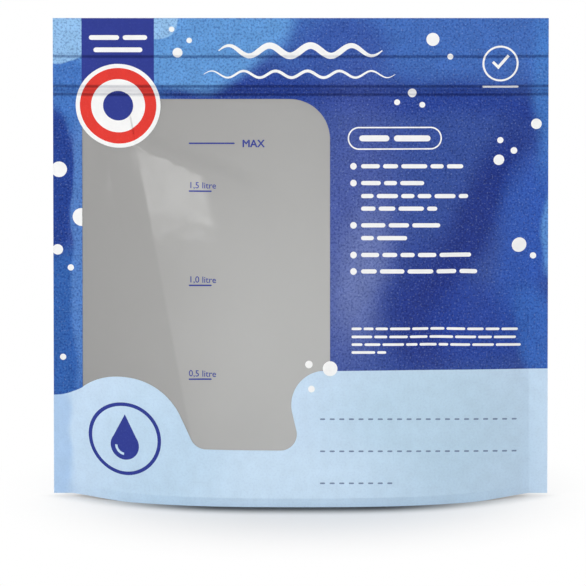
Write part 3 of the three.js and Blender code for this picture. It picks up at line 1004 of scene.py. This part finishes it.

# The clear film is hazy and duller towards its foot. Painted light makes its colour lighter over the
# lower middle, and painted shade makes it a little darker to the left of the crease. That shade is a
# wash so wide that its edge runs straight along the crease.
CLEAR_ALPHA = 0.6
CLEAR_ROUGHNESS = 0.12
SCUFFED_ROUGHNESS = 0.24
SCUFF_END = 70
SCUFF_START = 110
CLEAR_WAVER = 0.12
SHADE_REACH = 300
SHADE_EDGE = 0.004
SHADE_STRENGTH = 0.3
clear_film, tree, shader = new_finish("clear_film", CLEAR_ROUGHNESS)
shader.inputs["Alpha"].default_value = CLEAR_ALPHA
place = film_place(tree)
# Painted light: a lighter area over the lower middle of the clear film.
clear_colour_painted_light = wash(tree, place, ink(177, 176, 174), ink(206, 206, 204), (6, 66), (70, 108), 0, 0.9)
crease_run = Vector(CREASE_TOP) - Vector(CREASE_FOOT)
crease_turn = math.degrees(math.atan2(crease_run.x, crease_run.y))
crease_left = Vector((-crease_run.y, crease_run.x)).normalized()
shade_middle = (Vector(CREASE_TOP) + Vector(CREASE_FOOT)) / 2 + crease_left * SHADE_REACH
shade_size = (SHADE_REACH, 100 * SHADE_REACH)
shade = (ink(166, 165, 163), shade_middle, shade_size, crease_turn, SHADE_EDGE, SHADE_STRENGTH)
clear_colour_painted_light = wash(tree, place, clear_colour_painted_light, *shade)
tree.links.new(clear_colour_painted_light, shader.inputs["Base Color"])
on_film = tree.nodes.new("ShaderNodeSeparateXYZ")
tree.links.new(place, on_film.inputs["Vector"])
scuffed = spread(tree, on_film.outputs["Z"], SCUFF_END, SCUFF_START, SCUFFED_ROUGHNESS, CLEAR_ROUGHNESS)
tree.links.new(scuffed, shader.inputs["Roughness"])
film_skin(tree, shader, place, CLEAR_WAVER)
window_film = film_solid(
    "window_clear_film",
    FRONT_SIDE,
    -WELD_GAP - FILM,
    -WELD_GAP,
    window_outline(WINDOW_LAP, False),
    [],
    scale_inks,
    [clear_film, front_materials[DEEP_INK], front_materials[WHITE_INK]],
    CLEAR_FILM,
)
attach(window_film, "root")
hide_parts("window_film")

# Back panel: the same printed laminate in one piece, with no window, sealed to the front panel
# down both sides. Its print is plain: blue washes over a pale wave, with a few bubbles.
BACK_TOP = 58
SWELL = 7
SWELL_RUN = 34
RIPPLE = 3
RIPPLE_RUN = 15
back_field = [(-BAG_HALF, 0), (BAG_HALF, 0)]
for x in range(125, -126, -5):
    swollen = BACK_TOP + SWELL * math.sin(x / SWELL_RUN)
    back_field.append((x, swollen + RIPPLE * math.sin(x / RIPPLE_RUN + 1)))
back_inks = [(back_field, PALE_FILM)]
for x, flat, radius in BUBBLES:
    back_inks.append((disc(-x, flat, radius), WHITE_INK))
back_panel = film_solid(
    "back_panel_film",
    BACK_SIDE,
    0,
    FILM,
    front_outline,
    [],
    back_inks,
    front_materials,
    INSIDE,
)
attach(back_panel, "root")
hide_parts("back_panel")

# Bottom gusset: one film folded upwards along its middle, its feet welded inside the two rims and
# its ends held in the side seals. It opens out as a tent over the floor and keeps the bag upright.
LEAF_STEPS = 10
WELD_STEPS = 4
GUSSET_PRINT, GUSSET_SEALING = range(2)


# The gusset's section at one place across the bag, from the front foot over the fold to the back
# foot, as depth, height on the film and the direction that its skin faces.
def leaf_section(x):
    fold_depth = LEAF_HALF_GAP + FILM / 2

    def middle(flat):
        return inner_depth(x, flat) - WELD_GAP - FILM / 2

    across = middle(RIM_WELD) - fold_depth
    free = GUSSET_LEAF - RIM_WELD
    rise = math.sqrt(free * free - across * across)
    normal = (rise / free, across / free)
    section = []
    for k in range(WELD_STEPS):
        welded = RIM_WELD * k / WELD_STEPS
        section.append((middle(welded), welded, (1, 0)))
    section.append((middle(RIM_WELD), RIM_WELD, (1, normal[1] / (1 + normal[0]))))
    for k in range(1, LEAF_STEPS + 1):
        t = k / LEAF_STEPS
        section.append((mix(middle(RIM_WELD), fold_depth, t), RIM_WELD + rise * t, normal))
    fold = (0, RIM_WELD + rise + fold_depth, (0, 1))
    front = [(-d, f, (-n[0], n[1])) for d, f, n in section]
    back = [(d, f, n) for d, f, n in reversed(section)]
    return front + [fold] + back


gusset_sections = [leaf_section(x) for x in FILM_COLUMNS]
GUSSET_POINTS = len(gusset_sections[0])
gusset_vertices = []
for offset in (FILM / 2, -FILM / 2):
    for x, section in zip(FILM_COLUMNS, gusset_sections):
        for depth, flat, normal in section:
            height = standing_height(x, flat) + offset * normal[1]
            gusset_vertices.append(Vector((x, depth + offset * normal[0], height)) * MM)
gusset_faces = []
gusset_slots = []
last_column = len(FILM_COLUMNS) - 1
under = len(FILM_COLUMNS) * GUSSET_POINTS
for i in range(last_column):
    for j in range(GUSSET_POINTS - 1):
        a = i * GUSSET_POINTS + j
        b = a + GUSSET_POINTS
        gusset_faces += [[a, b, b + 1, a + 1], [under + a, under + a + 1, under + b + 1, under + b]]
        gusset_slots += [GUSSET_SEALING, GUSSET_PRINT]
    for j, turn in ((0, 1), (GUSSET_POINTS - 1, -1)):
        a = i * GUSSET_POINTS + j
        b = a + GUSSET_POINTS
        gusset_faces.append([a, under + a, under + b, b][::turn])
        gusset_slots.append(GUSSET_PRINT)
for j in range(GUSSET_POINTS - 1):
    for i, turn in ((0, 1), (last_column, -1)):
        a = i * GUSSET_POINTS + j
        gusset_faces.append([a, a + 1, under + a + 1, under + a][::turn])
        gusset_slots.append(GUSSET_PRINT)
gusset_mesh = bpy.data.meshes.new("bottom_gusset_film")
gusset_mesh.from_pydata(gusset_vertices, [], gusset_faces)
gusset_mesh.materials.append(pale_film)
gusset_mesh.materials.append(front_materials[INSIDE])
gusset_mesh.polygons.foreach_set("material_index", gusset_slots)
gusset = bpy.data.objects.new("bottom_gusset_film", gusset_mesh)
bpy.context.collection.objects.link(gusset)
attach(gusset, "root")
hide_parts("bottom_gusset")

# Zip: two extruded polyethylene tapes, one with a headed bead and one with two hooked ribs, pressed
# shut and welded inside the panels. Each section runs along the mouth and is crushed at the seals.
TAPE_WALL = 0.3
RIB_WALL = 0.5
HOOK_REACH = 0.7
HOOK_WALL = 0.4
ZIP_PLAY = 0.2
ZIP_SIDE_PLAY = 0.3
ZIP_STEPS = 116
rib_outer = (RIB_PITCH + RIB_WALL) / 2
rib_inner = (RIB_PITCH - RIB_WALL) / 2
tape_face = ZIP_HALF - TAPE_WALL
rib_tip = ZIP_PLAY - tape_face
hook_back = rib_tip + HOOK_WALL
head_base = hook_back + ZIP_PLAY
head_tip = tape_face - ZIP_PLAY
hook_end = rib_inner - HOOK_REACH
head_half = rib_inner - ZIP_SIDE_PLAY
stem_half = hook_end - ZIP_SIDE_PLAY
below_zip = TAPE_BOTTOM - ZIP_MIDDLE
above_zip = TAPE_TOP - ZIP_MIDDLE

# Half of the bead and one hooked rib in section, by depth and by height from the zip's middle.
bead_half = [
    (-tape_face, stem_half),
    (head_base, stem_half),
    (head_base, head_half),
    (head_tip, head_half / 2),
]
bead_section = [(-ZIP_HALF, above_zip), (-ZIP_HALF, below_zip), (-tape_face, below_zip)]
bead_section += [(depth, -height) for depth, height in bead_half]
bead_section += [*reversed(bead_half), (-tape_face, above_zip)]
hook_half = [
    (tape_face, rib_inner),
    (hook_back, rib_inner),
    (hook_back, hook_end),
    (rib_tip, hook_end),
    (rib_tip, rib_outer),
    (tape_face, rib_outer),
]
groove_section = [(ZIP_HALF, below_zip), (ZIP_HALF, above_zip), (tape_face, above_zip)]
groove_section += reversed(hook_half)
groove_section += [(depth, -height) for depth, height in hook_half]
groove_section += [(tape_face, below_zip)]

zip_plastic, tree, shader = new_finish("zip_plastic", 0.35)
shader.inputs["Subsurface Weight"].default_value = 0.2
shader.inputs["Subsurface Radius"].default_value = (0.001, 0.001, 0.001)
place = film_place(tree)
# The tapes take the grain and the same painted groove shade as the film.
tree.links.new(grain_and_painted_groove_shade(tree, place, ink(222, 228, 234), 0.02, 0.05), shader.inputs["Base Color"])

# Each tape is its section swept along the mouth and pressed flat towards its ends.
zip_tree = bpy.data.node_groups.new("zip_tape_run", "GeometryNodeTree")
zip_tree.interface.new_socket("Geometry", in_out="INPUT", socket_type="NodeSocketGeometry")
zip_inputs = {}
for socket_name, socket_type in (
    ("Half Length", "NodeSocketFloat"),
    ("Crush Start", "NodeSocketFloat"),
    ("Crush End", "NodeSocketFloat"),
    ("Height", "NodeSocketFloat"),
    ("Steps", "NodeSocketInt"),
    ("Plastic", "NodeSocketMaterial"),
):
    socket = zip_tree.interface.new_socket(socket_name, in_out="INPUT", socket_type=socket_type)
    zip_inputs[socket_name] = socket.identifier
zip_tree.interface.new_socket("Geometry", in_out="OUTPUT", socket_type="NodeSocketGeometry")
zip_in = zip_tree.nodes.new("NodeGroupInput")
zip_out = zip_tree.nodes.new("NodeGroupOutput")


def zip_node(kind, **sockets):
    node = zip_tree.nodes.new(kind)
    for name, value in sockets.items():
        feed(zip_tree, node.inputs[name], value)
    return node


def maths(tree, operation, *values):
    node = tree.nodes.new("ShaderNodeMath")
    node.operation = operation
    for socket, value in zip(node.inputs, values):
        feed(tree, socket, value)
    return node.outputs["Value"]


section_curve = zip_node("GeometryNodeMeshToCurve", Mesh=zip_in.outputs["Geometry"]).outputs["Curve"]
far_end = zip_node("ShaderNodeCombineXYZ", X=zip_in.outputs["Half Length"], Z=zip_in.outputs["Height"])
near_x = maths(zip_tree, "MULTIPLY", zip_in.outputs["Half Length"], -1.0)
near_end = zip_node("ShaderNodeCombineXYZ", X=near_x, Z=zip_in.outputs["Height"])
mouth = zip_node("GeometryNodeCurvePrimitiveLine", Start=near_end.outputs[0], End=far_end.outputs[0])
mouth_steps = zip_node("GeometryNodeResampleCurve", Curve=mouth.outputs["Curve"])
zip_tree.links.new(zip_in.outputs["Steps"], mouth_steps.inputs["Count"])
upright = zip_node("GeometryNodeSetCurveNormal", Curve=mouth_steps.outputs["Curve"])
upright.mode = "Z_UP"
run = zip_node("GeometryNodeCurveToMesh", Curve=upright.outputs["Curve"])
run.inputs["Fill Caps"].default_value = True
zip_tree.links.new(section_curve, run.inputs["Profile Curve"])
spot = zip_node("GeometryNodeInputPosition").outputs[0]
parts = zip_node("ShaderNodeSeparateXYZ", Vector=spot)
along = maths(zip_tree, "ABSOLUTE", parts.outputs["X"])
flattened = zip_node("ShaderNodeMapRange", Value=along)
flattened.interpolation_type = "SMOOTHSTEP"
zip_tree.links.new(zip_in.outputs["Crush Start"], flattened.inputs["From Min"])
zip_tree.links.new(zip_in.outputs["Half Length"], flattened.inputs["From Max"])
flattened.inputs["To Min"].default_value = 1
zip_tree.links.new(zip_in.outputs["Crush End"], flattened.inputs["To Max"])
crushed = maths(zip_tree, "MULTIPLY", parts.outputs["Y"], flattened.outputs["Result"])
moved = zip_node("ShaderNodeCombineXYZ", X=parts.outputs["X"], Y=crushed, Z=parts.outputs["Z"])
crushed_run = zip_node("GeometryNodeSetPosition", Geometry=run.outputs["Mesh"], Position=moved.outputs[0])
realized = zip_node("GeometryNodeRealizeInstances", Geometry=crushed_run.outputs["Geometry"])
coloured = zip_node("GeometryNodeSetMaterial", Geometry=realized.outputs["Geometry"])
zip_tree.links.new(zip_in.outputs["Plastic"], coloured.inputs["Material"])
zip_tree.links.new(coloured.outputs["Geometry"], zip_out.inputs["Geometry"])

for name, node, section in (
    ("bead_tape", "zip_bead_tape", bead_section),
    ("groove_tape", "zip_groove_tape", groove_section),
):
    count = len(section)
    outline = bpy.data.meshes.new(name + "_section")
    corners = [(-depth * MM, -height * MM, 0) for depth, height in section]
    outline.from_pydata(corners, [(k, (k + 1) % count) for k in range(count)], [])
    holder = bpy.data.objects.new(name + "_section", outline)
    bpy.context.collection.objects.link(holder)
    sweep = holder.modifiers.new("run", "NODES")
    sweep.node_group = zip_tree
    sweep[zip_inputs["Half Length"]] = SEAL_EDGE * MM
    sweep[zip_inputs["Crush Start"]] = (SEAL_EDGE - CRUSH_RUN) * MM
    sweep[zip_inputs["Crush End"]] = CRUSH_END
    sweep[zip_inputs["Height"]] = ZIP_MIDDLE * MM
    sweep[zip_inputs["Steps"]] = ZIP_STEPS
    sweep[zip_inputs["Plastic"]] = zip_plastic
    made = bpy.data.meshes.new_from_object(holder.evaluated_get(bpy.context.evaluated_depsgraph_get()))
    bpy.data.objects.remove(holder)
    tape = bpy.data.objects.new(name, made)
    bpy.context.collection.objects.link(tape)
    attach(tape, "root")
    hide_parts(node)

# Floor: a wide white sheet. Close to the bag it takes its shadow and a painted shadow along the bag's
# foot, and further out it goes over to the plain white of the background.
floor_mesh = bpy.data.meshes.new("floor")
FLOOR_HALF = 6
floor_corners = [(-FLOOR_HALF, -FLOOR_HALF, 0), (FLOOR_HALF, -FLOOR_HALF, 0)]
floor_corners += [(FLOOR_HALF, FLOOR_HALF, 0), (-FLOOR_HALF, FLOOR_HALF, 0)]
floor_mesh.from_pydata(floor_corners, [], [(0, 1, 2, 3)])
floor = bpy.data.objects.new("floor", floor_mesh)
bpy.context.collection.objects.link(floor)
floor_white = bpy.data.materials.new("floor_white")
floor_white.use_nodes = True
tree = floor_white.node_tree
shader = tree.nodes["Principled BSDF"]
shader.inputs["Roughness"].default_value = 0.6
shader.inputs["Specular IOR Level"].default_value = 0.2
coordinates = tree.nodes.new("ShaderNodeTexCoord")


# Rays that see the plain background: the camera's own, and those by way of gloss or a clear film.
def background_rays(tree):
    path = tree.nodes.new("ShaderNodeLightPath")
    mirrored = maths(tree, "MAXIMUM", path.outputs["Is Glossy Ray"], path.outputs["Is Transmission Ray"])
    return maths(tree, "MAXIMUM", path.outputs["Is Camera Ray"], mirrored)


# Painted shadow darkens the floor's colour at the bag's foot; it follows the curve of the base and
# thins towards the corners.
SHADE_OUTER = 1.6
THIN_START = 0.3
THIN_END = 1.1
THIN_SHADE = 0.35
FLOOR_TONE = (0.9, 0.9, 0.9, 1)
PAINTED_CONTACT_SHADOW = (0.04, 0.04, 0.04, 1)
WHITE_REACH = (0.165, 0.185)
WHITE_START = 0.15
on_floor = tree.nodes.new("ShaderNodeSeparateXYZ")
tree.links.new(coordinates.outputs["Object"], on_floor.inputs["Vector"])
along = maths(tree, "ABSOLUTE", maths(tree, "DIVIDE", on_floor.outputs["X"], SEAL_EDGE * MM))
across = maths(tree, "ABSOLUTE", maths(tree, "DIVIDE", on_floor.outputs["Y"], BASE_HALF * MM))
inside = maths(tree, "ADD", maths(tree, "POWER", along, BASE_ARC), across)
near_base = spread(tree, inside, 1, SHADE_OUTER, 1, 0)
thinned = spread(tree, along, THIN_START, THIN_END, 1, THIN_SHADE)
darkened = maths(tree, "MULTIPLY", near_base, thinned)
sees_floor = background_rays(tree)
shaded = maths(tree, "MULTIPLY", darkened, sees_floor)
floor_with_painted_shadow = layer(tree, FLOOR_TONE, PAINTED_CONTACT_SHADOW, shaded)
tree.links.new(floor_with_painted_shadow, shader.inputs["Base Color"])
away = tree.nodes.new("ShaderNodeMapping")
away.inputs["Scale"].default_value = (1 / WHITE_REACH[0], 1 / WHITE_REACH[1], 1)
tree.links.new(coordinates.outputs["Object"], away.inputs["Vector"])
distance = tree.nodes.new("ShaderNodeVectorMath")
distance.operation = "LENGTH"
tree.links.new(away.outputs["Vector"], distance.inputs[0])
glow = tree.nodes.new("ShaderNodeEmission")
seen = tree.nodes.new("ShaderNodeMixShader")
whitened = spread(tree, distance.outputs["Value"], WHITE_START, 1, 0, 1)
plain = maths(tree, "MULTIPLY", whitened, sees_floor)
unshaded = maths(tree, "SUBTRACT", 1.0, darkened)
tree.links.new(maths(tree, "MULTIPLY", plain, unshaded), seen.inputs["Fac"])
tree.links.new(shader.outputs["BSDF"], seen.inputs[1])
tree.links.new(glow.outputs["Emission"], seen.inputs[2])
tree.links.new(seen.outputs["Shader"], tree.nodes["Material Output"].inputs["Surface"])
floor_mesh.materials.append(floor_white)

# Studio light: an even white room with soft boxes to the left, to the right and overhead, and a
# small one far in front, which shows in the window's facet. The background is seen as plain white.
world = bpy.data.worlds.new("studio")
bpy.context.scene.world = world
world.use_nodes = True
tree = world.node_tree
room = tree.nodes["Background"]
room.inputs["Color"].default_value = (1, 1, 1, 1)
room.inputs["Strength"].default_value = 0.45
backdrop = tree.nodes.new("ShaderNodeBackground")
backdrop.inputs["Color"].default_value = (1, 1, 1, 1)
backdrop.inputs["Strength"].default_value = 1
choose = tree.nodes.new("ShaderNodeMixShader")
tree.links.new(background_rays(tree), choose.inputs["Fac"])
tree.links.new(room.outputs["Background"], choose.inputs[1])
tree.links.new(backdrop.outputs["Background"], choose.inputs[2])
tree.links.new(choose.outputs["Shader"], tree.nodes["World Output"].inputs["Surface"])

# Soft boxes by place and size in metres and power in watts, all turned to the bag's middle.
LIGHT_AIM = Vector((0, 0, 0.12))


def soft_box(name, place, size, power):
    lamp = bpy.data.lights.new(name, "AREA")
    lamp.shape = "RECTANGLE"
    lamp.size, lamp.size_y = size
    lamp.energy = power
    box = bpy.data.objects.new(name, lamp)
    box.location = place
    box.rotation_euler = (LIGHT_AIM - Vector(place)).to_track_quat("-Z", "Y").to_euler()
    bpy.context.collection.objects.link(box)


soft_box("left_box", (-1.1, -0.9, 0.8), (0.6, 0.9), 8.6)
soft_box("small_box", (-0.869, -2.947, 0.303), (0.16, 0.234), 0.85)
soft_box("right_box", (0.9, -1.4, 0.5), (0.7, 0.7), 6.4)
soft_box("top_box", (0, 0.45, 1.5), (1.4, 0.9), 9)

bpy.context.scene.view_settings.view_transform = "Standard"
